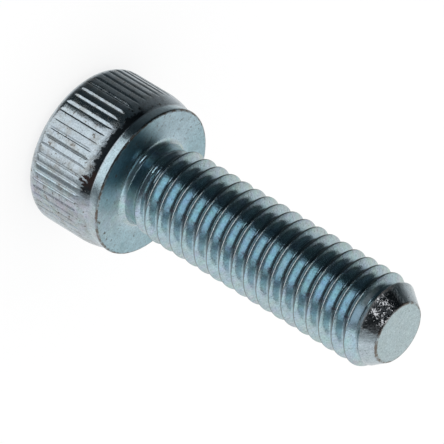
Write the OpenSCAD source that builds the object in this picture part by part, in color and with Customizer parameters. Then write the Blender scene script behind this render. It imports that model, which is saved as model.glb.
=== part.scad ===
// Hex socket cap screw with a knurled head, threaded over its whole length.
// It stands on the flat top of its head, with the point upwards. The origin is the middle of
// that flat top, and +Z runs along the axis to the point.

/* [Head] */
// Head diameter, over the crests of the knurl
head_d = 10.28; // [9.6:0.02:11]
// Head height, from its flat top to the bearing face
head_h = 5.86; // [5.4:0.02:6.6]
// Radius of the rounding at the edge of the flat top
top_round = 1.1; // [0.5:0.05:1.3]
// Height of the smooth band next to the bearing face
band_h = 0.7; // [0.4:0.02:1]
// How far the waist, where the band meets the knurl's taper, stands inside the knurl crests
band_inset = 0.28; // [0.12:0.01:0.34]
// How much the band widens from the waist to the bearing face, on its radius
band_flare = 0.04; // [0:0.01:0.1]
// Height over which the knurl crests curve in to the waist
taper_h = 1.5; // [0.4:0.05:1.8]
// Rounding at the edge of the bearing face
edge_round = 0.15; // [0.04:0.01:0.2]

/* [Knurl] */
// Number of grooves round the head
knurl_count = 56; // [45:1:66]
// Depth of a groove
knurl_depth = 0.09; // [0.05:0.01:0.12]
// Width of a groove at its mouth
knurl_width = 0.34; // [0.14:0.01:0.4]
// Direction of the first groove, from +X
knurl_angle = 3.7; // [0:0.1:6]

/* [Socket] */
// Distance across the flats of the hexagon
socket_af = 5.05; // [4:0.05:5.4]
// Depth of the flats, from the top of the head
socket_depth = 3; // [2.4:0.1:3.4]
// Depth of the cone in the socket floor
floor_cone = 0.5; // [0.2:0.1:1]
// Width of the chamfer round the corners of the socket
socket_lead = 0.16; // [0.05:0.01:0.3]

/* [Neck and thread] */
// Length from the bearing face to the end of the point
shank_l = 19.9; // [12:0.1:30]
// Thread diameter over the crests
thread_d = 5.97; // [5.8:0.01:6.4]
// Pitch, the distance from one crest to the next
pitch = 1; // [0.75:0.05:1.25]
// Diameter of the smooth neck under the head
neck_d = 5.3; // [5:0.05:5.6]
// Length of the smooth neck, from the bearing face
neck_l = 0.7; // [0.6:0.05:2]
// Radius of the fillet between the neck and the bearing face
fillet_r = 0.4; // [0.2:0.05:0.6]
// Length over which the thread grows to its full depth
run_in = 1.1; // [0.6:0.1:3]
// Direction round the axis, from +X, at which a crest is as high as the bearing face
crest_angle = 252; // [0:1:359]

/* [Point] */
// Diameter of the flat end
point_d = 4; // [3.4:0.1:4.6]
// Length of the chamfer down to the flat end
point_l = 1.4; // [0.8:0.1:2.2]
// Length over which the last groove of the thread fades out on the chamfer
run_out = 0.6; // [0.3:0.1:1.5]

/* [Hidden] */
$fn = 96;
eps = 0.01;
head_r = head_d / 2;
waist_r = head_r - band_inset;
face_r = waist_r + band_flare;
band_z = head_h - band_h;
taper_z = band_z - taper_h;
taper_round = (taper_h * taper_h + band_inset * band_inset) / (2 * band_inset);
neck_r = neck_d / 2;
end_z = head_h + shank_l;

// Thread form: flats of an eighth and a fifth of the pitch, and flanks at sixty degrees
crest_r = thread_d / 2;
thread_depth = 0.59 * pitch;
root_r = crest_r - thread_depth;
crest_w = pitch / 8;
flank_w = thread_depth * tan(30);
form = [[-crest_w / 2, 1], [crest_w / 2, 1], [crest_w / 2 + flank_w, 0], [pitch - crest_w / 2 - flank_w, 0]];

// The turn starts inside the head and runs out past the point, where it is cut off
steps = 32;
start_r = neck_r - 0.03;
start_z = head_h - 1.3;
first_turn = floor((start_z - head_h) / pitch);
turns = ceil((shank_l + pitch) / pitch) - first_turn;
last = turns * steps;

steel = [0.74, 0.77, 0.8];

// A square in the half profile, from the axis out to r, between two heights
module slab(r, z0, z1) {
    translate([0, z0]) square([r, z1 - z0]);
}

module head_profile() {
    slab(head_r - top_round, 0, top_round + eps);
    translate([head_r - top_round, top_round]) circle(top_round);
    slab(head_r, top_round, taper_z);
    intersection() {
        translate([head_r - taper_round, taper_z]) circle(taper_round);
        slab(head_r, taper_z - eps, band_z);
    }
    polygon([[0, band_z - eps], [waist_r, band_z - eps], [waist_r, band_z], [face_r, head_h - edge_round],
             [0, head_h - edge_round]]);
    translate([face_r - edge_round, head_h - edge_round]) circle(edge_round);
    slab(face_r - edge_round, band_z, head_h);
    slab(neck_r, band_z, head_h + neck_l);
    difference() {
        slab(neck_r + fillet_r, band_z, head_h + fillet_r);
        translate([neck_r + fillet_r, head_h + fillet_r]) circle(fillet_r);
    }
}

// Grooves run out by themselves where the head curves in at both ends
module knurl() {
    reach = 0.3;
    spread = knurl_width / 2 * (knurl_depth + reach) / knurl_depth;
    for (i = [0 : knurl_count - 1])
        rotate(knurl_angle + i * 360 / knurl_count)
            linear_extrude(head_h)
                polygon([[head_r - knurl_depth, 0], [head_r + reach, -spread], [head_r + reach, spread]]);
}

module socket() {
    corner_r = socket_af / 2 / cos(30);
    mouth_r = corner_r + socket_lead;
    translate([0, 0, -1]) cylinder(h = socket_depth + 1, r = corner_r, $fn = 6);
    translate([0, 0, -eps]) cylinder(h = mouth_r / tan(60), r1 = mouth_r, r2 = 0);
    translate([0, 0, socket_depth - eps]) cylinder(h = floor_cone, r1 = socket_af / 2 - 0.1, r2 = 0);
}

// Smooth rise from 0 to 1 over a length that starts at z0
function rise(z, z0, length) = let (t = min(1, max(0, (z - z0) / length))) t * t * (3 - 2 * t);

function thread_point(i, p) =
    let (z = head_h + pitch * (first_turn + i / steps) + form[p][0],
         full = root_r + thread_depth * max(form[p][1], rise(z, end_z - point_l / 3 - run_out, run_out)),
         r = start_r + (full - start_r) * rise(z, head_h + neck_l, run_in),
         a = crest_angle + 360 * i / steps)
    [r * cos(a), r * sin(a), z];

// Place of a point in the list: four points a step, and one a step on the closing turn
function at(i, p) = p == 4 ? at(i + steps, 0) : i <= last ? 4 * i + p : 4 * (last + 1) + i - last - 1;

module turning_thread() {
    sides = [for (i = [0 : last - 1]) for (p = [0 : 3])
        each [[at(i, p), at(i, p + 1), at(i + 1, p + 1)], [at(i, p), at(i + 1, p + 1), at(i + 1, p)]]];
    low = at(last + steps, 0) + 1;
    bottom = concat([for (p = [4 : -1 : 1]) [low, at(0, p), at(0, p - 1)]],
                    [for (i = [0 : steps - 1]) [low, at(i, 0), at(i + 1, 0)]]);
    top = concat([for (p = [0 : 3]) [low + 1, at(last, p), at(last, p + 1)]],
                 [for (i = [last : last + steps - 1]) [low + 1, at(i + 1, 0), at(i, 0)]]);
    polyhedron(
        points = concat([for (i = [0 : last]) for (p = [0 : 3]) thread_point(i, p)],
                        [for (i = [last + 1 : last + steps]) thread_point(i, 0)],
                        [[0, 0, head_h + pitch * (first_turn + 0.5)],
                         [0, 0, head_h + pitch * (first_turn + turns + 0.5)]]),
        faces = concat(sides, bottom, top));
}

// Everything that the point leaves of the shank
module point_blank() {
    reach = 0.5;
    slope = point_l / (crest_r - point_d / 2);
    rotate_extrude()
        polygon([[0, head_h - 2 * pitch - 1], [crest_r + reach, head_h - 2 * pitch - 1],
                 [crest_r + reach, end_z - point_l - reach * slope], [point_d / 2, end_z], [0, end_z]]);
}

module cap_screw() {
    color(steel) union() {
        difference() {
            rotate_extrude() head_profile();
            knurl();
            socket();
        }
        intersection() {
            turning_thread();
            point_blank();
        }
    }
}

cap_screw();
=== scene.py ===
# %% [markdown]
# # A socket head cap screw, dressed for its portrait
#
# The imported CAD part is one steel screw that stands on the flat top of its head, point upwards.
# This script keeps its place and sizes, and gives it the smooth rolled thread, the soft-edged
# knurl and the blue zinc plating that the CAD leaves out. Every length below is in millimetres
# and is multiplied by MM on its way into Blender, because the frame is in metres.

# %% The frame
import bmesh
import bpy
import math
from mathutils import Matrix, Vector
from types import SimpleNamespace


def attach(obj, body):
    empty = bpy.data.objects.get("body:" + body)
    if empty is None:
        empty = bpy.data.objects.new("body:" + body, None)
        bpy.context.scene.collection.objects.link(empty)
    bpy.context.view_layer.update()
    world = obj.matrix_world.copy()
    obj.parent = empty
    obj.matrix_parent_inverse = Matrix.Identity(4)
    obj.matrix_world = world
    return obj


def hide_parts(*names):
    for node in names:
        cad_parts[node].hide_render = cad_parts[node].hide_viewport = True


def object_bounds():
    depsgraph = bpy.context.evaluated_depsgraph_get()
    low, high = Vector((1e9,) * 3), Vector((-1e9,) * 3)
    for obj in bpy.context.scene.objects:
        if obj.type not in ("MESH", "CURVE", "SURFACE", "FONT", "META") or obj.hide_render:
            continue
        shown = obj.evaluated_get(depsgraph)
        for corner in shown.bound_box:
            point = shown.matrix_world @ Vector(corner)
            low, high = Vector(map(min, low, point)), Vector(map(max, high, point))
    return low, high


MM = 0.001
FULL_TURN = 2 * math.pi
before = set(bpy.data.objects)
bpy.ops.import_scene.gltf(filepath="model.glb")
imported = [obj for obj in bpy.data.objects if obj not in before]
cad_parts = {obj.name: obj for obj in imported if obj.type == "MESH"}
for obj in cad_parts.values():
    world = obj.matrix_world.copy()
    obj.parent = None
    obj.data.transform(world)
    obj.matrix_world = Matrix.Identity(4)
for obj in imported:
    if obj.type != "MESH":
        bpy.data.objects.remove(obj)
cad_low, cad_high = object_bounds()
print("CAD box in mm:", [round(x / MM, 2) for x in (*cad_low, *cad_high)])

# %% [markdown]
# ## Sizes
#
# The box of the CAD node gives the head's radius and the whole height. The rest are the sizes
# that the CAD source names, so that the fine mesh lies on the solid it stands for, and a few
# that only the fine mesh has: how worn the dies were, and how round each edge is.

# %% Sizes of the head
HEAD_R = min(cad_high[0], cad_high[1], -cad_low[0], -cad_low[1]) / MM
END_Z = cad_high[2] / MM
HEAD_H = 5.86
TOP_ROUND = 1.1
BAND_H = 0.7
BAND_INSET = 0.28
BAND_FLARE = 0.04
TAPER_H = 1.5
EDGE_ROUND = 0.15
BAND_Z = HEAD_H - BAND_H
TAPER_Z = BAND_Z - TAPER_H
TAPER_ROUND = (TAPER_H ** 2 + BAND_INSET ** 2) / (2 * BAND_INSET)
WAIST_R = HEAD_R - BAND_INSET
FACE_R = WAIST_R + BAND_FLARE
SOCKET_AF = 5.05
SOCKET_DEPTH = 3.0
SOCKET_LEAD = 0.16
SOCKET_LEAD_TILT = math.radians(60)
FLOOR_CONE = 0.5
FLOOR_R = SOCKET_AF / 2 - 0.1
MOUTH_R = SOCKET_AF / 2 / math.cos(math.radians(30)) + SOCKET_LEAD
print(f"socket {SOCKET_AF} across its flats, {2 * MOUTH_R:.2f} across its mouth")

# %% Sizes of the knurl
GROOVES = 56
FIRST_GROOVE = math.radians(3.7)
# The dies are worn: they press less deep than they should, and drag the ridges along a little
GROOVE_DEPTH = 0.09 * 0.8
GROOVE_DRAG = math.radians(1.4)
GROOVE_BOTTOM = 0.016
NEAR_SLOPE = math.tan(math.radians(22.5))
FAR_SLOPE = math.tan(math.radians(40))
RIDGE_LEAN = math.tan(math.radians(2.6))
RIDGE_CROWN = 0.012
KNURL_SOFTNESS = 0.012
print(f"{GROOVES} grooves, {GROOVE_DEPTH:.3f} deep")

# %% Sizes of the neck, thread and point
NECK_R = 2.65
NECK_L = 0.7
FILLET_R = 0.4
PITCH = 1.0
CREST_R = 5.97 / 2
THREAD_DEPTH = 0.595 * PITCH
RUN_IN = 1.1
RUN_OUT = 0.6
CREST_ANGLE = math.radians(252)
POINT_R = 2.0
POINT_L = 1.4
POINT_SLOPE = (CREST_R - POINT_R) / POINT_L
POINT_ROUND = 0.14
CONE_Z = END_Z - POINT_L
CONE_SOFTNESS = 0.03
print(f"head {2 * HEAD_R:.2f} across, shank {END_Z - HEAD_H:.2f} long")

# %% How near two points have to lie to count as one, at each stage, and what counts as an edge
WELD_SHEET = 0.0004
WELD_PARTS = 0.0005
WELD_SKIN = 0.0003
SLIVER = 0.0002
ON_RIM = 0.0005
SHARP_EDGE = math.radians(34)

# %% [markdown]
# ## Small helpers
#
# Geometry node trees and materials are both made of nodes that are joined by links. Written out
# one by one they are hard to read, so `Weave` adds a node, sets its inputs by name or place and
# gives back its output. An input that is itself a node's output becomes a link. The sums that
# come up all the time have short names of their own.


# %% A helper that adds and links nodes
class Weave:
    def __init__(self, tree):
        self.tree = tree

    def node(self, kind, inputs=(), out=0, **settings):
        made = self.tree.nodes.new(kind)
        for name, value in settings.items():
            setattr(made, name, value)
        for key, value in dict(inputs).items():
            if isinstance(value, bpy.types.NodeSocket):
                self.tree.links.new(value, made.inputs[key])
            else:
                made.inputs[key].default_value = value
        return made.outputs[out] if out is not None else made

    def group(self, tree, inputs):
        return self.node("ShaderNodeGroup", inputs, out=None, node_tree=tree).outputs

    def split(self, vector):
        return self.node("ShaderNodeSeparateXYZ", {0: vector}, out=None).outputs

    def math(self, operation, a, b=0.0, c=0.0):
        return self.node("ShaderNodeMath", {0: a, 1: b, 2: c}, operation=operation)

    def plus(self, a, b):
        return self.math("ADD", a, b)

    def minus(self, a, b):
        return self.math("SUBTRACT", a, b)

    def times(self, first, *others):
        for other in others:
            first = self.math("MULTIPLY", first, other)
        return first

    def scaled(self, value, factor, offset):
        return self.math("MULTIPLY_ADD", value, factor, offset)

    def rest(self, mask):
        """What a mask leaves over: 1 where it is 0."""
        return self.math("SUBTRACT", 1.0, mask)

    def rise(self, value, low, high, smooth=True):
        """0 below low, 1 above high."""
        kind = "SMOOTHSTEP" if smooth else "LINEAR"
        inputs = {"Value": value, "From Min": low, "From Max": high}
        return self.node("ShaderNodeMapRange", inputs, interpolation_type=kind)

    def between(self, value, stretch):
        """1 over a stretch of values, which is given as its start, its end and its softness."""
        low, high, soft = stretch
        return self.times(self.rise(value, low, low + soft),
                          self.rest(self.rise(value, high - soft, high)))

    def noise(self, place, scale, detail, roughness=0.5, out=0):
        inputs = {"Vector": place, "Scale": scale, "Detail": detail, "Roughness": roughness}
        return self.node("ShaderNodeTexNoise", inputs, out=out)

    def mix(self, base, colour, mask, blend="MIX"):
        inputs = {0: mask, 6: base, 7: colour}
        return self.node("ShaderNodeMix", inputs, out=2, data_type="RGBA", blend_type=blend)

    def luck(self, low, high, number, seed):
        """A random value between two others, the same each time for one number and seed."""
        inputs = {2: low, 3: high, "ID": number, "Seed": seed}
        return self.node("FunctionNodeRandomValue", inputs, out=1, data_type="FLOAT")


# %% Helpers for trees of geometry nodes
def geometry_tree(name, inputs):
    """A tree that takes an outline and the named inputs."""
    tree = bpy.data.node_groups.new(name, "GeometryNodeTree")
    kinds = {float: "NodeSocketFloat", int: "NodeSocketInt",
             bpy.types.Material: "NodeSocketMaterial"}
    tree.interface.new_socket("Outline", in_out="INPUT", socket_type="NodeSocketGeometry")
    for label, value in inputs.items():
        tree.interface.new_socket(label, in_out="INPUT", socket_type=kinds[type(value)])
    tree.interface.new_socket("Mesh", in_out="OUTPUT", socket_type="NodeSocketGeometry")
    return tree, Weave(tree), tree.nodes.new("NodeGroupInput").outputs


def outline_size(w, outline):
    """How many points the outline has."""
    return w.node("GeometryNodeAttributeDomainSize", {"Geometry": outline}, component="MESH")


def outline_point(w, outline, number):
    """One point of the outline: X is out from the axis and Z is up."""
    inputs = {"Geometry": outline, "Value": w.node("GeometryNodeInputPosition"), "Index": number}
    return w.split(w.node("GeometryNodeSampleIndex", inputs, data_type="FLOAT_VECTOR"))


def lay_sheet(w, columns, rows):
    """A flat grid of points. Gives it, each point's share of the way across, and its row."""
    sheet = w.node("GeometryNodeMeshGrid", {"Size X": 1.0, "Size Y": 1.0,
                                            "Vertices X": columns, "Vertices Y": rows})
    flat = w.split(w.node("GeometryNodeInputPosition"))
    row = w.math("ROUND", w.times(w.plus(flat["Y"], 0.5), w.minus(rows, 1.0)))
    return sheet, w.plus(flat["X"], 0.5), row


def bend_and_close(tree, w, sheet, out_from_axis, angle, height, finish):
    """Bends the sheet round the axis, closes its seam and ends the tree."""
    placed = w.node("ShaderNodeCombineXYZ", {"X": w.times(out_from_axis, w.math("COSINE", angle)),
                                             "Y": w.times(out_from_axis, w.math("SINE", angle)),
                                             "Z": height})
    bent = w.node("GeometryNodeSetPosition", {"Geometry": sheet, "Position": placed})
    merged = w.node("GeometryNodeMergeByDistance", {"Geometry": bent, "Distance": WELD_SHEET * MM})
    real = w.node("GeometryNodeRealizeInstances", {"Geometry": merged})
    dressed = w.node("GeometryNodeSetMaterial", {"Geometry": real, "Material": finish})
    w.node("NodeGroupOutput", {"Mesh": dressed}, out=None)
    return tree


# %% A helper that runs a tree on an outline and hands back the plain mesh
def grow(name, outline, tree, inputs):
    mesh = bpy.data.meshes.new(name + "_outline")
    mesh.from_pydata([(r * MM, 0, z * MM) for r, z in outline], [], [])
    piece = bpy.data.objects.new(name, mesh)
    bpy.context.scene.collection.objects.link(piece)
    modifier = piece.modifiers.new("Grow", "NODES")
    modifier.node_group = tree
    for item in tree.interface.items_tree:
        if item.in_out == "INPUT" and item.name in inputs:
            modifier[item.identifier] = inputs[item.name]
    seen = piece.evaluated_get(bpy.context.evaluated_depsgraph_get())
    grown = bpy.data.meshes.new_from_object(seen)
    bpy.data.objects.remove(piece)
    print(f"{name}: {len(grown.vertices)} points, {len(grown.polygons)} faces")
    return grown


# %% A helper for outlines
def arc(centre, radius, start, end, steps):
    """Points on part of a circle in the half section, angles in degrees from outwards."""
    turns = [math.radians(start + (end - start) * i / steps) for i in range(steps + 1)]
    return [(centre[0] + radius * math.cos(t), centre[1] + radius * math.sin(t)) for t in turns]


# %% [markdown]
# ## The plating
#
# The steel is dipped in zinc and then in a blue passivate, a film so thin that it tints the
# metal by interference. Seen square on it is sky blue, seen aslant it pales to grey green, and
# on the head, where the film is thicker, it is dull and faintly violet.
#
# Stains, wear and painted light follow the shape. The crests of the thread carry a painted
# highlight on one side and painted shade on the others. A dark brown line runs along the head
# side of every crest, and the roots are darkened as painted shade. The two turned rims are
# brown. The hollow under the band is painted black as shade, with a rusty end. On one side the
# cone is painted near black, with painted white glints on it. The bearing face carries teal
# blotches that are paler on one side as painted light, and a painted dark reflection of the
# shank. The head also carries water marks of the dip.
#
# It could be one flat metal colour with a rough value, but then only the lights would speak.
# Here small node groups each put out a mask, a colour or a height. A map says where on the
# screw a point lies, a list of layers paints it, and one Principled shader takes them all.


# %% A helper that starts a shader group
def shader_group(name, inputs, outputs):
    tree = bpy.data.node_groups.new(name, "ShaderNodeTree")
    kinds = {"f": "NodeSocketFloat", "v": "NodeSocketVector", "c": "NodeSocketColor"}
    for label, kind in inputs.items():
        tree.interface.new_socket(label, in_out="INPUT", socket_type=kinds[kind])
    for label, kind in outputs.items():
        tree.interface.new_socket(label, in_out="OUTPUT", socket_type=kinds[kind])
    return tree, Weave(tree), tree.nodes.new("NodeGroupInput").outputs


# %% Blots: patches of a noise that pass a threshold, with a soft rim
def make_blots():
    tree, w, given = shader_group(
        "blots", {"Place": "v", "Scale": "f", "Cover": "f", "Softness": "f"}, {"Mask": "f"})
    cloud = w.noise(given["Place"], given["Scale"], 6.0, 0.65)
    edge = w.rest(given["Cover"])
    blot = w.rise(cloud, edge, w.plus(edge, given["Softness"]))
    w.node("NodeGroupOutput", {"Mask": blot}, out=None)
    return tree


# %% Grain: the fine pebbled skin of the zinc, and the pits in it
def make_grain():
    tree, w, given = shader_group(
        "zinc grain", {"Place": "v", "Scale": "f"}, {"Height": "f", "Pits": "f"})
    fine = w.noise(given["Place"], given["Scale"], 3.0, 0.6)
    wide = w.noise(given["Place"], w.times(given["Scale"], 0.3), 2.0)
    height = w.scaled(wide, 0.8, w.times(fine, 0.6))
    pits = w.rest(w.rise(fine, 0.26, 0.42))
    w.node("NodeGroupOutput", {"Height": height, "Pits": pits}, out=None)
    return tree


# %% Rims: how near a point of the skin lies to a ring round the axis
def make_rim():
    tree, w, given = shader_group(
        "rim wear", {"Radius": "f", "Height": "f", "Rim radius": "f", "Rim height": "f",
                     "Width": "f", "Breakup": "f"}, {"Mask": "f"})
    across = w.minus(given["Radius"], given["Rim radius"])
    along = w.minus(given["Height"], given["Rim height"])
    away = w.math("SQRT", w.scaled(across, across, w.times(along, along)))
    ragged = w.times(given["Width"], w.scaled(given["Breakup"], 2.2, 0.1))
    near = w.rest(w.rise(away, w.times(ragged, 0.45), ragged))
    w.node("NodeGroupOutput", {"Mask": near}, out=None)
    return tree


# %% Film tint: blue square on, grey green aslant, violet where the film is thick
SQUARE_ON_BLUE = (0.50, 0.71, 0.81, 1)
HALFWAY_BLUE = (0.50, 0.645, 0.70, 1)
ASLANT_GREEN = (0.50, 0.60, 0.61, 1)
THICK_VIOLET = (0.485, 0.49, 0.555, 1)
HUE_SWING = (0.34, 0.34, 0.34)
HUE_LEAST = (0.83, 0.83, 0.83)


def make_film():
    tree, w, given = shader_group(
        "passivate tint", {"Place": "v", "Slant": "f", "Violet": "f"}, {"Tint": "c"})
    ramp = w.node("ShaderNodeValToRGB", {"Fac": given["Slant"]}, out=None)
    stops = ramp.color_ramp.elements
    stops[0].position, stops[0].color = 0.08, SQUARE_ON_BLUE
    stops[1].position, stops[1].color = 0.6, ASLANT_GREEN
    stops.new(0.32).color = HALFWAY_BLUE
    drift = w.noise(given["Place"], 0.45, 4.0)
    thickness = w.scaled(w.minus(drift, 0.5), 1.8, given["Violet"])
    tint = w.mix(ramp.outputs["Color"], THICK_VIOLET, w.rise(thickness, 0.0, 1.0))
    # The film is never quite even: it turns a little pink here and a little green there
    hues = w.noise(given["Place"], 1.7, 3.0, out="Color")
    hues = w.node("ShaderNodeVectorMath", {0: hues, 1: HUE_SWING, 2: HUE_LEAST},
                  operation="MULTIPLY_ADD")
    w.node("NodeGroupOutput", {"Tint": w.mix(tint, hues, 1.0, "MULTIPLY")}, out=None)
    return tree


blots, grain, rim, film = make_blots(), make_grain(), make_rim(), make_film()
print("shader groups:", ", ".join(g.name for g in (blots, grain, rim, film)))

# %% [markdown]
# ### A map of the screw
#
# A stain or a painted light that sits in one place needs to know where it is. Height and radius
# come straight from the point. The way round is a turn from 0 to 1, anticlockwise from +X. The
# phase says how far a point is from one root of the thread to the next, because height and turn
# together tell on which part of the helix it lies.

# %% Stretches, each with its start, its end and its softness
# Of the way round the screw, in degrees from +X
# Some sides carry painted light: the crests' highlight, the face's dark reflection, the hollow's
# shade
SIDES = {"violet": (293, 359, 24), "crest_highlight_side": (236, 304, 12), "pale face": (150, 236, 25),
         "deep face": (229, 303, 20), "hollow_painted_shade": (222, 309, 9), "shade_tongues": (284, 309, 10),
         "rusty": (280, 301, 8), "stained": (283, 297, 6), "milky": (258, 297, 14),
         "dark_cone": (212, 298, 14), "glint_side": (230, 285, 14)}
# Of one pitch, from a root at 0 over the crest at 0.5 to the next root at 1
HEAD_SIDE_LIP = (0.38, 0.5, 0.015)
# Painted shade on the crests away from the highlit side, and a painted highlight on the crests of
# that side
SHADED_CREST = (0.46, 0.57, 0.03)
CREST_HIGHLIGHT = (0.5, 0.56, 0.02)
POINT_SIDE_FLANK = (0.57, 0.93, 0.08)
# Of the height, over the last groove before the cone
LAST_GROOVE = (CONE_Z - 0.45, CONE_Z + 0.2, 0.1)
print("sides with a look of their own:", ", ".join(SIDES))


# %% The map: where on the screw a point lies, and the noises that every stain and painted light shares
def map_screw(w):
    at = SimpleNamespace()
    place = w.node("ShaderNodeTexCoord", out="Object")
    at.place = w.node("ShaderNodeVectorMath", {0: place, "Scale": 1 / MM}, operation="SCALE")
    x, y, at.height = w.split(at.place)
    at.radius = w.math("SQRT", w.scaled(x, x, w.times(y, y)))
    at.turn = w.math("FRACT", w.plus(w.math("DIVIDE", w.math("ARCTAN2", y, x), FULL_TURN), 1.0))
    climb = w.math("DIVIDE", w.minus(at.height, HEAD_H), PITCH)
    at.phase = w.math("FRACT", w.minus(w.plus(climb, CREST_ANGLE / FULL_TURN + 1.5), at.turn))

    # Noises
    at.crumbs = w.noise(at.place, 6.5, 3.0)
    at.dust = w.noise(at.place, 9.0, 2.0)
    at.ragged = w.noise(at.place, 2.6, 5.0, 0.7)
    at.uneven = w.minus(at.ragged, 0.5)
    at.shaken_turn = w.scaled(at.uneven, 0.05, at.turn)

    # Masks, each 1 on its part of the screw and 0 elsewhere
    at.knurl = w.rest(w.rise(at.height, BAND_Z - 0.25, BAND_Z))
    at.head = w.rest(w.rise(at.height, HEAD_H, HEAD_H + 0.02))
    at.band = w.times(w.rise(at.height, BAND_Z - 0.02, BAND_Z + 0.1), at.head)
    at.face = w.times(w.rise(at.height, HEAD_H - 0.05, HEAD_H),
                      w.rise(at.radius, NECK_R, NECK_R + 1.0))
    at.thread = w.rise(at.height, HEAD_H + NECK_L, HEAD_H + NECK_L + 0.6)
    at.crest = w.times(at.thread, w.rise(at.radius, CREST_R - 0.12, CREST_R - 0.05))
    at.deep = w.times(at.thread, w.rest(w.rise(at.radius, CREST_R - 0.55, CREST_R - 0.1)))
    at.below_cone = w.rest(w.rise(at.height, CONE_Z - 0.6 * POINT_L, CONE_Z))
    at.cone = w.times(w.rise(at.height, CONE_Z + 0.05 * POINT_L, CONE_Z + 0.2 * POINT_L),
                      w.rise(at.radius, POINT_R - 0.1, POINT_R))
    at.end = w.rise(at.height, END_Z - 0.03, END_Z - 0.01)
    return at


def on_side(w, turn, name):
    """Whether a turn lies on one of the named sides."""
    return w.between(turn, [degrees / 360 for degrees in SIDES[name]])


# %% Painted shade in the hollow under the band, drawn out into the grooves at its rusty end
def find_hollow_shade(w, at):
    past_taper = w.math("MAXIMUM", w.minus(at.height, TAPER_Z), 0.0)
    curved_in = w.math("DIVIDE", w.times(past_taper, past_taper), 2 * TAPER_ROUND)
    pressed = w.minus(w.minus(HEAD_R, curved_in), at.radius)
    # Painted shade also fills the knurl's grooves just below the band
    in_groove = w.times(at.knurl, w.rise(pressed, 0.02, 0.06))
    drawn_out = w.node("ShaderNodeVectorMath", {0: at.place, 1: (1, 1, 0.2)}, operation="MULTIPLY")
    streaks = w.math("MAXIMUM", w.rise(w.noise(drawn_out, 4.5, 3.0), 0.45, 0.6), in_groove)
    # At one end the painted shade runs up the grooves as tongues
    shade_tongues = w.times(streaks, on_side(w, at.turn, "shade_tongues"))
    lower_edge = w.scaled(shade_tongues, -0.45, w.scaled(at.uneven, -1.6, BAND_Z - 0.5))
    hollow = w.times(w.rise(at.height, lower_edge, w.plus(lower_edge, 0.12)),
                     w.rest(w.rise(at.height, BAND_Z - 0.07, BAND_Z - 0.02)))
    return w.times(hollow, on_side(w, at.shaken_turn, "hollow_painted_shade"))


# %% The cone: a worn shoulder first, then a near black coat with painted white glints on it
SHOULDER_H = 0.42


def find_cone_marks(w, at):
    dark_cone_from = CONE_Z + SHOULDER_H
    past_shoulder = w.rise(w.scaled(at.uneven, 0.5, at.height), dark_cone_from - 0.1,
                           dark_cone_from + 0.1)
    past_shoulder = w.times(past_shoulder, at.cone)
    side = on_side(w, at.shaken_turn, "dark_cone")
    shoulder = w.times(w.rise(at.height, CONE_Z - 0.02, CONE_Z + 0.08), w.rest(past_shoulder), side,
                       w.rise(at.radius, POINT_R + 0.3, POINT_R + 0.5))
    # Past the shoulder, on one side, the cone is painted near black
    dark_cone = w.times(past_shoulder, side)
    crust = w.plus(w.noise(at.place, 10.0, 5.0, 0.75), at.uneven)
    # Painted highlight: white glints, painted as small pale flecks that are barely metallic
    painted_glints = w.times(dark_cone, on_side(w, at.shaken_turn, "glint_side"), w.rise(crust, 0.56, 0.6))
    return shoulder, dark_cone, painted_glints


# %% Brown rims, broken up by the noises
def find_brown(w, at):
    def worn_rim(radius, height, width, whole_from, strength, faintest):
        ring_mask = w.group(rim, {"Radius": at.radius, "Height": at.height, "Rim radius": radius,
                                  "Rim height": height, "Width": width,
                                  "Breakup": at.crumbs})["Mask"]
        whole = w.rise(at.ragged, 0.4, whole_from)
        return w.times(ring_mask, w.scaled(whole, strength, faintest))

    face_rim = worn_rim(FACE_R - 0.04, HEAD_H - 0.04,
                        width=0.1, whole_from=0.55, strength=0.7, faintest=0.3)
    end_rim = worn_rim(POINT_R, END_Z - 0.03,
                       width=0.11, whole_from=0.56, strength=0.85, faintest=0.1)
    return w.math("MAXIMUM", face_rim, end_rim)


# %% Crests, lips and roots of the thread: painted highlight and painted shade on the crests, a dark lip line, painted shade in the roots
def find_crest_highlight_and_shade(w, at):
    crest_highlight_side = on_side(w, at.turn, "crest_highlight_side")
    # A painted highlight: on one side the crests are painted near white, where they face the bright
    # table
    bright = w.times(at.crest, w.between(at.phase, CREST_HIGHLIGHT), crest_highlight_side,
                     w.rise(at.crumbs, 0.35, 0.5))
    # Painted shade: on the other sides the crests are darkened
    shaded_crest = w.times(at.crest, w.rest(crest_highlight_side), w.between(at.phase, SHADED_CREST), 0.6)
    # A dark brown line along the head side of each crest, joined with that painted shade
    dark_lip_and_shade = w.math("MAXIMUM", w.times(at.crest, w.between(at.phase, HEAD_SIDE_LIP)), shaded_crest)
    # Painted shade: the roots of the thread are darkened
    to_root = w.math("ABSOLUTE", w.minus(w.math("FRACT", w.plus(at.phase, 0.97)), 0.5))
    root = w.times(at.thread, at.below_cone, w.rise(to_root, 0.36, 0.45))
    return bright, dark_lip_and_shade, root


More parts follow.
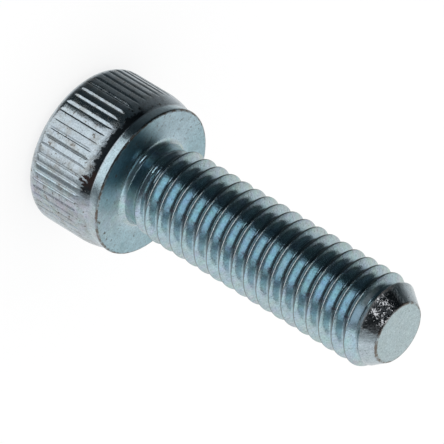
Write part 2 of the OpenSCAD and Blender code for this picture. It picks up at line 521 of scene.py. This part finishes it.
# %% The zinc plate itself
def make_zinc():
    zinc = bpy.data.materials.new("blue_zinc_plate")
    zinc.use_nodes = True
    zinc.node_tree.nodes.clear()
    w = Weave(zinc.node_tree)
    at = map_screw(w)

    def blotted(scale, cover, softness):
        return w.group(blots, {"Place": at.place, "Scale": scale, "Cover": cover,
                               "Softness": softness})["Mask"]

    skin = w.group(grain, {"Place": at.place, "Scale": 8.0})
    violet_side = on_side(w, at.turn, "violet")
    slant = w.node("ShaderNodeLayerWeight", {"Blend": 0.5}, out="Facing")
    violet = w.scaled(w.times(at.head, violet_side), 0.62, -0.2)
    tint = w.group(film, {"Place": at.place, "Slant": slant, "Violet": violet})["Tint"]

    dull_head = w.times(at.head, w.scaled(violet_side, -0.6, 0.85))
    blue_band = w.times(at.band, w.rest(violet_side))
    # Teal blotches of the film on the bearing face, made fainter on one side as painted light
    teal_film_and_painted_light = w.times(at.face, w.scaled(blotted(0.8, 0.56, 0.3), 0.5, 0.5),
                        w.scaled(on_side(w, at.turn, "pale face"), -0.75, 0.9))
    # A painted reflection: a dark teal patch on one side of the bearing face stands for the shank
    face_painted_reflection = w.times(at.face, on_side(w, at.turn, "deep face"))
    marks = w.times(blotted(1.5, 0.56, 0.22), w.scaled(at.knurl, 0.4, 0.1))
    spots = w.times(blotted(3.1, 0.4, 0.06),
                    w.scaled(w.math("MAXIMUM", at.knurl, at.face), 0.6, 0.15))
    crest_painted_highlight, dark_lip_and_shade, root = find_crest_highlight_and_shade(w, at)
    stained = w.times(at.deep, at.below_cone, on_side(w, at.shaken_turn, "stained"),
                      w.rise(at.crumbs, 0.42, 0.55))
    # The point-side flank of the last groove is painted a milky blue and made half as metallic
    milky = w.times(w.between(at.height, LAST_GROOVE), w.between(at.phase, POINT_SIDE_FLANK),
                    on_side(w, at.turn, "milky"), w.rise(at.radius, CREST_R - 0.62, CREST_R - 0.5))
    hollow_painted_shade = find_hollow_shade(w, at)
    rusty = w.times(hollow_painted_shade, on_side(w, at.shaken_turn, "rusty"))
    shoulder, dark_cone, painted_glints = find_cone_marks(w, at)
    brown = find_brown(w, at)

    # From the film up: where, how strongly, and in which colour
    layers = [
        (dull_head, 1.0, (0.53, 0.60, 0.655)),
        (blue_band, 0.7, (0.46, 0.63, 0.7)),
        (at.deep, 0.35, (0.42, 0.63, 0.74)),
        (at.cone, 0.7, (0.55, 0.61, 0.64)),
        (at.end, 0.85, (0.48, 0.585, 0.60)),
        # The bearing face: teal film with painted light, then the painted dark reflection of the
        # shank
        (teal_film_and_painted_light, 1.0, (0.34, 0.54, 0.59)),
        (face_painted_reflection, 0.88, (0.115, 0.25, 0.315)),
        (marks, 1.0, (0.36, 0.35, 0.32)),
        (spots, 1.0, (0.17, 0.13, 0.09)),
        (skin["Pits"], 0.75, (0.15, 0.16, 0.16)),
        # Painted shade in the roots, a dark line with painted shade on the crests, then the painted
        # crest highlight
        (root, 0.6, (0.12, 0.15, 0.17)),
        (dark_lip_and_shade, 0.85, (0.10, 0.09, 0.08)),
        (crest_painted_highlight, 0.85, (0.86, 0.87, 0.88)),
        (stained, 0.65, (0.2, 0.15, 0.19)),
        (milky, 0.8, (0.42, 0.66, 0.84)),
        # Painted shade: the hollow under the band is painted near black, with a rusty brown end
        # over it
        (hollow_painted_shade, 0.97, (0.022, 0.03, 0.036)),
        (rusty, 0.42, (0.11, 0.05, 0.035)),
        (brown, 0.9, (0.15, 0.11, 0.08)),
        (shoulder, 0.9, (0.66, 0.59, 0.57)),
        # The cone past its shoulder is painted near black on one side, with painted white glints on
        # it
        (dark_cone, 0.8, (0.06, 0.045, 0.045)),
        (painted_glints, 1.0, (0.85, 0.88, 0.92))]
    colour = tint
    for mask, strength, paint in layers:
        colour = w.mix(colour, (*paint, 1), w.times(mask, strength))
    # The crystals of the zinc take the light unevenly, so all of it is mottled
    mottle = w.rise(w.scaled(at.ragged, 0.45, w.times(at.dust, 0.55)), 0.33, 0.67, smooth=False)
    shade = w.mix((0.8, 0.8, 0.81, 1), (1.2, 1.195, 1.19, 1), mottle)
    colour = w.mix(colour, shade, 1.0, "MULTIPLY")

    rough = w.scaled(skin["Height"], 0.12, 0.09)
    for mask, rougher in ((marks, 0.2), (w.math("MAXIMUM", spots, hollow_painted_shade), 0.3), (brown, 0.12),
                          (at.face, 0.24), (shoulder, 0.36)):
        rough = w.scaled(mask, rougher, rough)
    metallic = w.rest(w.scaled(painted_glints, 0.85, w.times(milky, 0.5)))
    hammered = w.times(at.crumbs, w.plus(dark_cone, shoulder), 5.0)
    bump = w.node("ShaderNodeBump", {"Strength": 1.0, "Distance": 0.011 * MM,
                                     "Height": w.plus(skin["Height"], hammered)})
    shader = w.node("ShaderNodeBsdfPrincipled", {"Base Color": colour, "Metallic": metallic,
                                                 "Roughness": rough, "Normal": bump})
    w.node("ShaderNodeOutputMaterial", {"Surface": shader}, out=None)
    return zinc


zinc_plate = make_zinc()
print("material:", zinc_plate.name, "with", len(zinc_plate.node_tree.nodes), "nodes")

# %% [markdown]
# ## The knurled head
#
# The head is forged, and then its side is rolled between dies that press 56 grooves into it, so
# that fingers can turn it. The grooves don't run to the ends: the head curves in at the top edge
# and towards the smooth band, and where its surface drops below a groove's floor, the
# groove stops by itself.
#
# It could be a turned body with 56 cut prisms. A grid that is bent round the axis does the same
# with no cutting: the tree reads the half section as rows, and lets no point lie further out
# than the groove allows. A smooth minimum of the two gives the rolled, rounded edges that a
# boolean lacks. Each groove gets its own depth from a fixed seed, as worn dies leave them. The
# dies also drag the metal along a little: the ridges lean, and their spacing drifts once wider
# and once closer on the way round.

# %% The half section of the head, from the bearing face round to the socket's mouth
FACE_RIM_R = FACE_R - EDGE_ROUND - 0.04
MOUTH_RIM_R = MOUTH_R + 0.1
taper_end = math.degrees(math.asin(TAPER_H / TAPER_ROUND))

# The shares place the rows on straight runs closer together where a rounding begins
head_outline = [(FACE_RIM_R, HEAD_H)]
head_outline += arc((FACE_R - EDGE_ROUND, HEAD_H - EDGE_ROUND), EDGE_ROUND, 90, 0, 6)
head_outline += [(WAIST_R + BAND_FLARE * t, BAND_Z + (BAND_H - EDGE_ROUND) * t)
                 for t in (0.7, 0.4, 0.15, 0.05)]
head_outline += arc((HEAD_R - TAPER_ROUND, TAPER_Z), TAPER_ROUND, taper_end, 0, 12)
head_outline += [(HEAD_R, TOP_ROUND + (TAPER_Z - TOP_ROUND) * t) for t in (0.86, 0.66, 0.4, 0.16)]
head_outline += arc((HEAD_R - TOP_ROUND, TOP_ROUND), TOP_ROUND, 0, -90, 15)
head_outline += [(HEAD_R - TOP_ROUND - 0.08, 0), (MOUTH_RIM_R + 0.3, 0), (MOUTH_RIM_R, 0)]
print("head section:", len(head_outline), "points")


# %% The tree that bends the section round and presses the grooves
def knurl_tree(sizes):
    tree, w, given = geometry_tree("rolled knurl", sizes)
    columns = w.times(given["Grooves"], given["Columns a groove"])
    sheet, round_share, row = lay_sheet(w, w.plus(columns, 1.0), outline_size(w, given["Outline"]))
    drawn = outline_point(w, given["Outline"], row)

    # Each groove has a number, and with it its own depth and place
    groove_turn = w.plus(w.times(round_share, given["Grooves"]), 0.5)
    number = w.math("FLOOR", w.plus(groove_turn, 0.0001))
    number = w.math("MODULO", number, given["Grooves"])
    fullness = w.luck(w.rest(given["Unevenness"]), 1.0, number, given["Seed"])
    sway = w.times(given["Unevenness"], 0.25)
    sway = w.luck(w.times(sway, -1.0), sway, number, w.plus(given["Seed"], 1.0))

    # A hyperbola has the groove's straight flanks and a rounded bottom
    spacing = w.math("DIVIDE", w.times(given["Crest radius"], FULL_TURN), given["Grooves"])
    side = w.minus(w.math("FRACT", groove_turn), w.plus(sway, 0.5))
    beyond = w.math("GREATER_THAN", side, 0.0)
    from_middle = w.math("ABSOLUTE", side)
    away = w.times(from_middle, spacing)
    bottom = given["Bottom rounding"]
    away = w.math("SQRT", w.scaled(away, away, w.times(bottom, bottom)))
    steeper = w.minus(given["Far slope"], given["Near slope"])
    slope = w.scaled(beyond, steeper, given["Near slope"])
    depth = w.times(given["Groove depth"], fullness)
    floor = w.plus(w.minus(given["Crest radius"], depth), w.times(w.minus(away, bottom), slope))

    # Between two grooves the ridge is crowned, and leans
    to_crown = w.rest(w.times(from_middle, 2.0))
    sag = w.times(to_crown, to_crown, w.times(given["Crown"], fullness))
    across_ridge = w.minus(w.plus(side, 0.5), beyond)
    lean = w.times(w.minus(0.5, across_ridge), w.times(spacing, given["Lean"]))
    ridge = w.minus(w.minus(given["Crest radius"], sag), lean)
    limit = w.math("SMOOTH_MIN", floor, ridge, given["Edge softness"])
    out_from_axis = w.math("SMOOTH_MIN", drawn["X"], limit, given["Edge softness"])
    out_from_axis = w.math("MINIMUM", out_from_axis, drawn["X"])

    angle = w.plus(w.times(round_share, FULL_TURN), given["First groove"])
    drift = w.math("SINE", w.minus(angle, given["Drift from"]))
    angle = w.scaled(drift, given["Drift"], angle)
    return bend_and_close(tree, w, sheet, out_from_axis, angle, drawn["Z"], given["Finish"])


knurl_sizes = {
    "Grooves": GROOVES, "Columns a groove": 16, "Groove depth": GROOVE_DEPTH * MM,
    "Bottom rounding": GROOVE_BOTTOM * MM, "Near slope": NEAR_SLOPE, "Far slope": FAR_SLOPE,
    "Lean": RIDGE_LEAN, "Crest radius": HEAD_R * MM, "Crown": RIDGE_CROWN * MM,
    "Edge softness": KNURL_SOFTNESS * MM, "Unevenness": 0.22,
    "First groove": FIRST_GROOVE + GROOVE_DRAG, "Drift": math.radians(5.5),
    "Drift from": math.radians(210), "Seed": 6, "Finish": zinc_plate}
head_mesh = grow("knurled_head", head_outline, knurl_tree(knurl_sizes), knurl_sizes)

# %% [markdown]
# ## The thread
#
# The thread is rolled, too. The dies squeeze a blank as thick as the neck: metal sinks at the
# root and rises at the crest, and the two lips that rise don't quite meet, so a fine seam is
# left along the top of every crest. Both ends fade: the thread grows out of the
# smooth neck over about a turn, and runs out on the cone of the point.
#
# It could be swept along a helix, but a sweep can't fade. Here the form of one pitch is drawn
# once, and the tree lays it on a grid whose rows climb one pitch each time round, so the edges
# of the mesh follow the helix. Where the grid passes either end it is pressed flat against
# that end, and merging the points that then coincide closes the seam.

# %% The form of one pitch: height above the crest, and how deep it is cut
CREST_MIDDLE = 0.015
CREST_HALF = 0.02
CREST_ROUND = 0.055
SEAM_DEPTH = 0.008
crest_edge = CREST_MIDDLE + CREST_HALF
crest_side = [(crest_edge + CREST_ROUND * math.sin(t), CREST_ROUND * (1 - math.cos(t)))
              for t in (math.radians(20), math.radians(42), math.radians(60))]
# Each run of the flank goes down to a depth with its own lean: straight first, then hollow
flank_runs = ((0.22, 0.565), (0.34, 0.577), (0.42, 0.6), (0.48, 0.66), (0.53, 0.78), (0.565, 1.05))
flank_side = []
z, cut = crest_side[-1]
for deep, lean in flank_runs:
    z, cut = z + (deep - cut) * lean, deep
    flank_side.append((z, cut))
seam = [(0.0, 0.0), (0.008, 0.0), (CREST_MIDDLE, SEAM_DEPTH), (0.022, 0.0), (crest_edge, 0.0)]
root = [(CREST_MIDDLE + PITCH / 2, THREAD_DEPTH)]
# The far side mirrors the near one, with fewer points, because it is seen less
far_side = [flank_side[5], flank_side[3], flank_side[0], crest_side[2], crest_side[0]]
far_side = [(2 * CREST_MIDDLE + PITCH - z, cut) for z, cut in far_side]
thread_form = seam + crest_side + flank_side + root + far_side
print("thread form:", len(thread_form), "points a pitch")


# %% The tree that carries the form up the helix
def thread_tree(sizes):
    tree, w, given = geometry_tree("rolled thread", sizes)
    form_points = outline_size(w, given["Outline"])
    rows = w.plus(w.times(form_points, given["Turns"]), 1.0)
    sheet, round_share, row = lay_sheet(w, w.plus(given["Steps a turn"], 1.0), rows)
    turn = w.math("FLOOR", w.math("DIVIDE", w.plus(row, 0.25), form_points))
    drawn = outline_point(w, given["Outline"], w.minus(row, w.times(turn, form_points)))
    climbed = w.times(w.plus(turn, round_share), given["Pitch"])
    height = w.plus(w.plus(given["First crest"], climbed), drawn["X"])

    # Both ends fade: the cut runs out at the point, and the whole form grows from the neck
    run_out = w.rise(height, given["Run-out start"], given["Run-out end"])
    full = w.minus(given["Crest radius"], w.times(drawn["Z"], w.rest(run_out)))
    grown = w.rise(height, given["Run-in start"], given["Run-in end"])
    above_neck = w.times(w.minus(full, given["Neck radius"]), grown)
    out_from_axis = w.plus(given["Neck radius"], above_neck)

    # The cone of the point cuts it all off
    end_drop = w.minus(given["End height"], height)
    cone = w.plus(given["Point radius"], w.times(end_drop, given["Point slope"]))
    cone = w.math("MAXIMUM", cone, given["Point radius"])
    out_from_axis = w.math("SMOOTH_MIN", out_from_axis, cone, given["Cone softness"])
    kept = w.math("MAXIMUM", w.math("MINIMUM", height, given["End height"]), given["Start height"])
    angle = w.plus(w.times(round_share, FULL_TURN), given["First angle"])
    return bend_and_close(tree, w, sheet, out_from_axis, angle, kept, given["Finish"])


start_z = HEAD_H + FILLET_R
turns = math.ceil((END_Z - start_z) / PITCH) + 2
first_crest = HEAD_H + PITCH * math.floor((start_z - HEAD_H) / PITCH - 1)
run_out_end = END_Z - POINT_L / 3
# The rounding where the cone meets the flat end, from the cone's slope up to level
cone_tilt = math.atan(POINT_SLOPE)
set_back = POINT_ROUND * math.tan((math.pi / 2 - cone_tilt) / 2)
point_arc = arc((POINT_R - set_back, END_Z - POINT_ROUND), POINT_ROUND,
                math.degrees(cone_tilt), 90, 5)
thread_sizes = {
    "Pitch": PITCH * MM, "Turns": turns, "Steps a turn": 120, "Crest radius": CREST_R * MM,
    "Neck radius": NECK_R * MM, "First angle": CREST_ANGLE,
    "First crest": first_crest * MM, "Start height": start_z * MM,
    "End height": point_arc[0][1] * MM,
    "Run-in start": (HEAD_H + NECK_L) * MM, "Run-in end": (HEAD_H + NECK_L + RUN_IN) * MM,
    "Run-out start": (run_out_end - RUN_OUT) * MM, "Run-out end": run_out_end * MM,
    "Point radius": point_arc[0][0] * MM, "Point slope": POINT_SLOPE,
    "Cone softness": CONE_SOFTNESS * MM, "Finish": zinc_plate}
thread_mesh = grow("rolled_thread", thread_form, thread_tree(thread_sizes), thread_sizes)

# %% [markdown]
# ## Closing the solid
#
# The two grown sheets stop at open rings. What joins them is plain: the flat bearing face, the
# fillet under the head, the flat end of the point and the hexagon of the socket. Each is a
# series of rings round the axis, so one helper lays rings and another fills the band between
# two rings that have different numbers of points.


# %% Helpers for rings
def ring(bm, count, radius, height, start=0.0):
    """Points round the axis. Radius and height are numbers, or change with the angle."""
    points = []
    for i in range(count):
        a = start + FULL_TURN * i / count
        r = (radius(a) if callable(radius) else radius) * MM
        z = (height(a) if callable(height) else height) * MM
        points.append(bm.verts.new((r * math.cos(a), r * math.sin(a), z)))
    return points


def join_rings(bm, rings):
    """Fills between rings that all have the same number of points."""
    for low, high in zip(rings, rings[1:]):
        for i in range(len(low)):
            j = (i + 1) % len(low)
            bm.faces.new((low[i], low[j], high[j], high[i]))


def zip_rings(bm, one, other):
    """Fills between two rings of different counts, always taking the shorter next edge."""
    def angle(v):
        return math.atan2(v.co.y, v.co.x) % FULL_TURN

    def step_on(points, i):
        """The angle that the next edge of a ring reaches, or endless when the ring is used up."""
        if i >= len(points):
            return math.inf
        width = (angle(points[(i + 1) % len(points)]) - angle(points[i])) % FULL_TURN
        return width + angle(points[i])

    one, other = sorted(one, key=angle), sorted(other, key=angle)
    i = j = 0
    while i < len(one) or j < len(other):
        a, b = one[i % len(one)], other[j % len(other)]
        if step_on(one, i) <= step_on(other, j):
            bm.faces.new((a, one[(i + 1) % len(one)], b))
            i += 1
        else:
            bm.faces.new((a, other[(j + 1) % len(other)], b))
            j += 1


def open_rim(bm, height):
    """The points on an open edge of the mesh at a height in mm."""
    edges = [e for e in bm.edges if e.is_boundary]
    return list({v for e in edges for v in e.verts if abs(v.co.z / MM - height) < ON_RIM})


# %% The shank: thread, fillet and flat end
bm = bmesh.new()
bm.from_mesh(thread_mesh)
bmesh.ops.remove_doubles(bm, verts=bm.verts, dist=WELD_PARTS * MM)
bmesh.ops.dissolve_degenerate(bm, edges=bm.edges, dist=SLIVER * MM)
neck_rim = open_rim(bm, start_z)
end_rim = open_rim(bm, point_arc[0][1])
print("rims of the thread:", len(neck_rim), "and", len(end_rim), "points")
steps = thread_sizes["Steps a turn"]
fillet = arc((NECK_R + FILLET_R, HEAD_H + FILLET_R), FILLET_R, 180, 270, 8)
fillet_rings = [ring(bm, steps, r, z, CREST_ANGLE)
                for r, z in fillet[1:] + [(NECK_R + FILLET_R + 0.05, HEAD_H)]]
zip_rings(bm, neck_rim, fillet_rings[0])
join_rings(bm, fillet_rings)
end_rings = [ring(bm, steps, r, z, CREST_ANGLE)
             for r, z in point_arc[1:] + [(POINT_R * 0.6, END_Z), (POINT_R * 0.25, END_Z)]]
zip_rings(bm, end_rim, end_rings[0])
join_rings(bm, end_rings)
bm.faces.new(end_rings[-1])

# %% The head and the bearing face
bm.from_mesh(head_mesh)
bmesh.ops.remove_doubles(bm, verts=bm.verts, dist=WELD_PARTS * MM)
face_outer = [v for v in open_rim(bm, HEAD_H) if v.co.xy.length > (FACE_RIM_R - 0.1) * MM]
face_inner = fillet_rings[-1]
zip_rings(bm, face_outer, face_inner)
print("bearing face between", len(face_outer), "and", len(face_inner), "points")

# %% The socket: a hexagon with a coned mouth and a coned floor
SOCKET_STEPS = 96


def hexagon(a):
    return SOCKET_AF / 2 / math.cos((a % math.radians(60)) - math.radians(30))


def wall_height(share):
    """The height of the wall at a share of the way from the coned mouth to the floor."""
    def height(a):
        mouth = (MOUTH_R - hexagon(a)) / math.tan(SOCKET_LEAD_TILT)
        return mouth + (SOCKET_DEPTH - mouth) * share
    return height


socket = [ring(bm, SOCKET_STEPS, MOUTH_RIM_R - 0.03, 0), ring(bm, SOCKET_STEPS, MOUTH_R, 0)]
socket += [ring(bm, SOCKET_STEPS, hexagon, wall_height(share)) for share in (0, 0.3, 0.65, 1.0)]
socket += [ring(bm, SOCKET_STEPS, FLOOR_R * share, SOCKET_DEPTH + FLOOR_CONE * (1 - share))
           for share in (1.0, 0.6, 0.2)]
join_rings(bm, socket)
tip = bm.verts.new((0, 0, (SOCKET_DEPTH + FLOOR_CONE) * MM))
for i in range(SOCKET_STEPS):
    bm.faces.new((socket[-1][i], socket[-1][(i + 1) % SOCKET_STEPS], tip))
top_rim = [v for v in open_rim(bm, 0) if v.co.xy.length > (MOUTH_RIM_R - 0.01) * MM]
zip_rings(bm, top_rim, socket[0])
print("socket of", len(socket), "rings, joined to", len(top_rim), "points of the flat top")

# %% One closed skin, normals outwards
bmesh.ops.remove_doubles(bm, verts=bm.verts, dist=WELD_SKIN * MM)
bmesh.ops.recalc_face_normals(bm, faces=bm.faces)
if bm.calc_volume(signed=True) < 0:
    bmesh.ops.reverse_faces(bm, faces=bm.faces)
loose = sum(not e.is_manifold for e in bm.edges)
print(f"open or odd edges {loose}, volume {bm.calc_volume() / MM ** 3:.1f} cubic mm")
screw_mesh = bpy.data.meshes.new("screw")
bm.to_mesh(screw_mesh)
bm.free()
screw_mesh.materials.clear()
screw_mesh.materials.append(zinc_plate)
screw_mesh.shade_smooth()
screw_mesh.set_sharp_from_angle(angle=SHARP_EDGE)
screw = bpy.data.objects.new("screw", screw_mesh)
bpy.context.scene.collection.objects.link(screw)
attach(screw, "root")
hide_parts("cap_screw")
print("screw:", len(screw_mesh.polygons), "faces")

# %% [markdown]
# ## Floor and studio
#
# The screw stands on a plain pale floor under one soft light that comes from all round: the
# world. Metal is only as good as what stands round it, so for the metal the world is a small
# studio drawn by direction: a pale sweep behind and to the right, a dark room to the left and
# in front with a dim ceiling, and one small bright lamp high on the left. Below the horizon lies
# a pale table that ends in a sharp edge at the left and has a dark gap near its right end. To
# the camera the world is plain white, and the light on the floor and the screw stays plain.
#
# It could be softboxes on stands, but they would light the floor unevenly and stand in the
# picture. A studio that only mirror rays see does neither. The floor is hidden from those rays,
# because the drawn table takes its place there.

# %% The floor
FLOOR_HALF = 1.5
FLOOR_GREY = (0.22, 0.22, 0.22, 1)
FLOOR_GLOW = 0.8
WHITE = (1, 1, 1, 1)


def make_floor():
    paper = bpy.data.materials.new("white_paper")
    paper.use_nodes = True
    paper.node_tree.nodes.clear()
    w = Weave(paper.node_tree)
    path = w.node("ShaderNodeLightPath", out=None).outputs
    mirrored = w.math("MAXIMUM", path["Is Glossy Ray"], path["Is Transmission Ray"])
    seen = w.math("MAXIMUM", path["Is Camera Ray"], mirrored)
    matt = w.node("ShaderNodeBsdfDiffuse", {"Color": FLOOR_GREY})
    glow = w.node("ShaderNodeEmission", {"Color": WHITE, "Strength": w.times(seen, FLOOR_GLOW)})
    both = w.node("ShaderNodeAddShader", {0: matt, 1: glow})
    w.node("ShaderNodeOutputMaterial", {"Surface": both}, out=None)
    mesh = bpy.data.meshes.new("floor")
    corners = [(x * FLOOR_HALF, y * FLOOR_HALF, 0) for x, y in ((-1, -1), (1, -1), (1, 1), (-1, 1))]
    mesh.from_pydata(corners, [], [(0, 1, 2, 3)])
    mesh.materials.append(paper)
    floor = bpy.data.objects.new("floor", mesh)
    bpy.context.scene.collection.objects.link(floor)
    floor.visible_glossy = False
    print("floor:", 2 * FLOOR_HALF, "m square")


make_floor()

# %% The studio, drawn by direction
# Degrees from +X, anticlockwise seen from above: how bright the studio is that way
ROOM_LIGHT = {0: 0.78, 45: 0.8, 90: 0.82, 115: 0.79, 128: 0.68, 138: 0.48, 146: 0.24, 154: 0.08,
              165: 0.03, 190: 0.015, 215: 0.015, 235: 0.03, 255: 0.04, 270: 0.06, 290: 0.05,
              310: 0.12, 328: 0.34, 345: 0.62}
TABLE_LIGHT = {0: 0.74, 45: 0.8, 90: 0.82, 110: 0.8, 130: 0.5, 148: 0.2, 170: 0.12, 188: 0.06,
               210: 0.018, 234: 0.018, 238: 0.93, 250: 0.97, 270: 1.0, 290: 1.05, 304: 1.0,
               313: 0.78, 319: 0.45, 324: 0.2, 331: 0.2, 337: 0.42, 345: 0.55}
# What the darkest directions still give
DUSK = (0.004, 0.012, 0.016)
CEILING = (0.13, 0.15, 0.16, 1)
LAMP = (1.9, 2.0, 2.1, 1)
LAMP_TURN = math.radians(231)
LAMP_RISE = math.radians(38)
# Edges between the parts of the studio, soft from one angle to the other
TABLE_EDGE = (-8, -3)
CEILING_EDGE = (66, 75)
LAMP_EDGE = (8, 4)


def make_world():
    world = bpy.data.worlds.new("studio")
    bpy.context.scene.world = world
    world.use_nodes = True
    world.node_tree.nodes.clear()
    w = Weave(world.node_tree)
    towards = w.node("ShaderNodeTexCoord", out="Generated")
    x, y, up = w.split(towards)
    turn = w.math("FRACT", w.plus(w.math("DIVIDE", w.math("ARCTAN2", y, x), FULL_TURN), 1.0))

    def all_round(lights):
        ramp = w.node("ShaderNodeValToRGB", {"Fac": turn}, out=None)
        stops = ramp.color_ramp.elements
        for n, (degrees, light) in enumerate(sorted({**lights, 360: lights[0]}.items())):
            stop = stops[0] if n == 0 else stops.new(degrees / 360)
            stop.color = (*(light + dim for dim in DUSK), 1)
        return ramp.outputs["Color"]

    def above(low, high):
        """1 above an edge that is soft between two elevations, in degrees."""
        return w.rise(up, math.sin(math.radians(low)), math.sin(math.radians(high)))

    room = w.mix(all_round(TABLE_LIGHT), all_round(ROOM_LIGHT), above(*TABLE_EDGE))
    room = w.mix(room, CEILING, above(*CEILING_EDGE))
    lamp_at = (math.cos(LAMP_TURN) * math.cos(LAMP_RISE), math.sin(LAMP_TURN) * math.cos(LAMP_RISE),
               math.sin(LAMP_RISE))
    to_lamp = w.node("ShaderNodeVectorMath", {0: towards, 1: lamp_at}, out=1,
                     operation="DOT_PRODUCT")
    lamp = w.rise(to_lamp, *(math.cos(math.radians(away)) for away in LAMP_EDGE))
    room = w.mix(room, LAMP, lamp)
    path = w.node("ShaderNodeLightPath", out=None).outputs
    plain = w.math("MAXIMUM", path["Is Camera Ray"], path["Is Diffuse Ray"])
    sky = w.node("ShaderNodeBackground", {"Color": w.mix(room, WHITE, plain), "Strength": 1.0})
    w.node("ShaderNodeOutputWorld", {"Surface": sky}, out=None)
    print("studio:", len(ROOM_LIGHT), "directions above the table and", len(TABLE_LIGHT), "below")


make_world()

# %% [markdown]
# ## Camera
#
# The photograph looks at the screw from 30 degrees above the bearing face, on the point's side,
# with a long lens. The camera is rolled so that the axis falls to the lower right. It could be
# placed by eye, but the outline of the head and the spacing of the crests fix it: the middle
# of the bearing face, two angles and one scale say all of it.

# %% The camera
PHOTO_SIZE = 444
FACE_CENTRE_PIXEL = (151.71, 182.30)
TILT = math.radians(30.2)
AXIS_TURN = math.radians(31.38)
PIXELS_A_MM = 16.58
DISTANCE = 500.0
SENSOR = 36

axis = Vector((math.cos(TILT) * math.cos(AXIS_TURN), math.cos(TILT) * math.sin(AXIS_TURN),
               -math.sin(TILT)))
side = axis.cross(Vector((0, 0, 1))).normalized()
front = axis.cross(side)
centre = Vector([(pixel - PHOTO_SIZE / 2) / PIXELS_A_MM for pixel in FACE_CENTRE_PIXEL]
                + [DISTANCE])
# Each picture axis (right, down, away) in the part's own frame
right, down, away = (Vector((-side[i], -front[i], axis[i])) for i in range(3))
eye = Vector((0, 0, HEAD_H)) - (right * centre[0] + down * centre[1] + away * centre[2])
camera_data = bpy.data.cameras.new("camera")
camera_data.sensor_width = SENSOR
camera_data.lens = PIXELS_A_MM * DISTANCE * SENSOR / PHOTO_SIZE
camera_data.clip_start, camera_data.clip_end = 0.01, 10
camera = bpy.data.objects.new("camera", camera_data)
turned = Matrix((right, -down, -away)).transposed().to_4x4()
camera.matrix_world = Matrix.Translation(eye * MM) @ turned
bpy.context.scene.collection.objects.link(camera)
bpy.context.scene.camera = camera
bpy.context.scene.view_settings.view_transform = "Standard"
print("camera", round(camera_data.lens), "mm lens, eye at", [round(x) for x in eye], "mm")
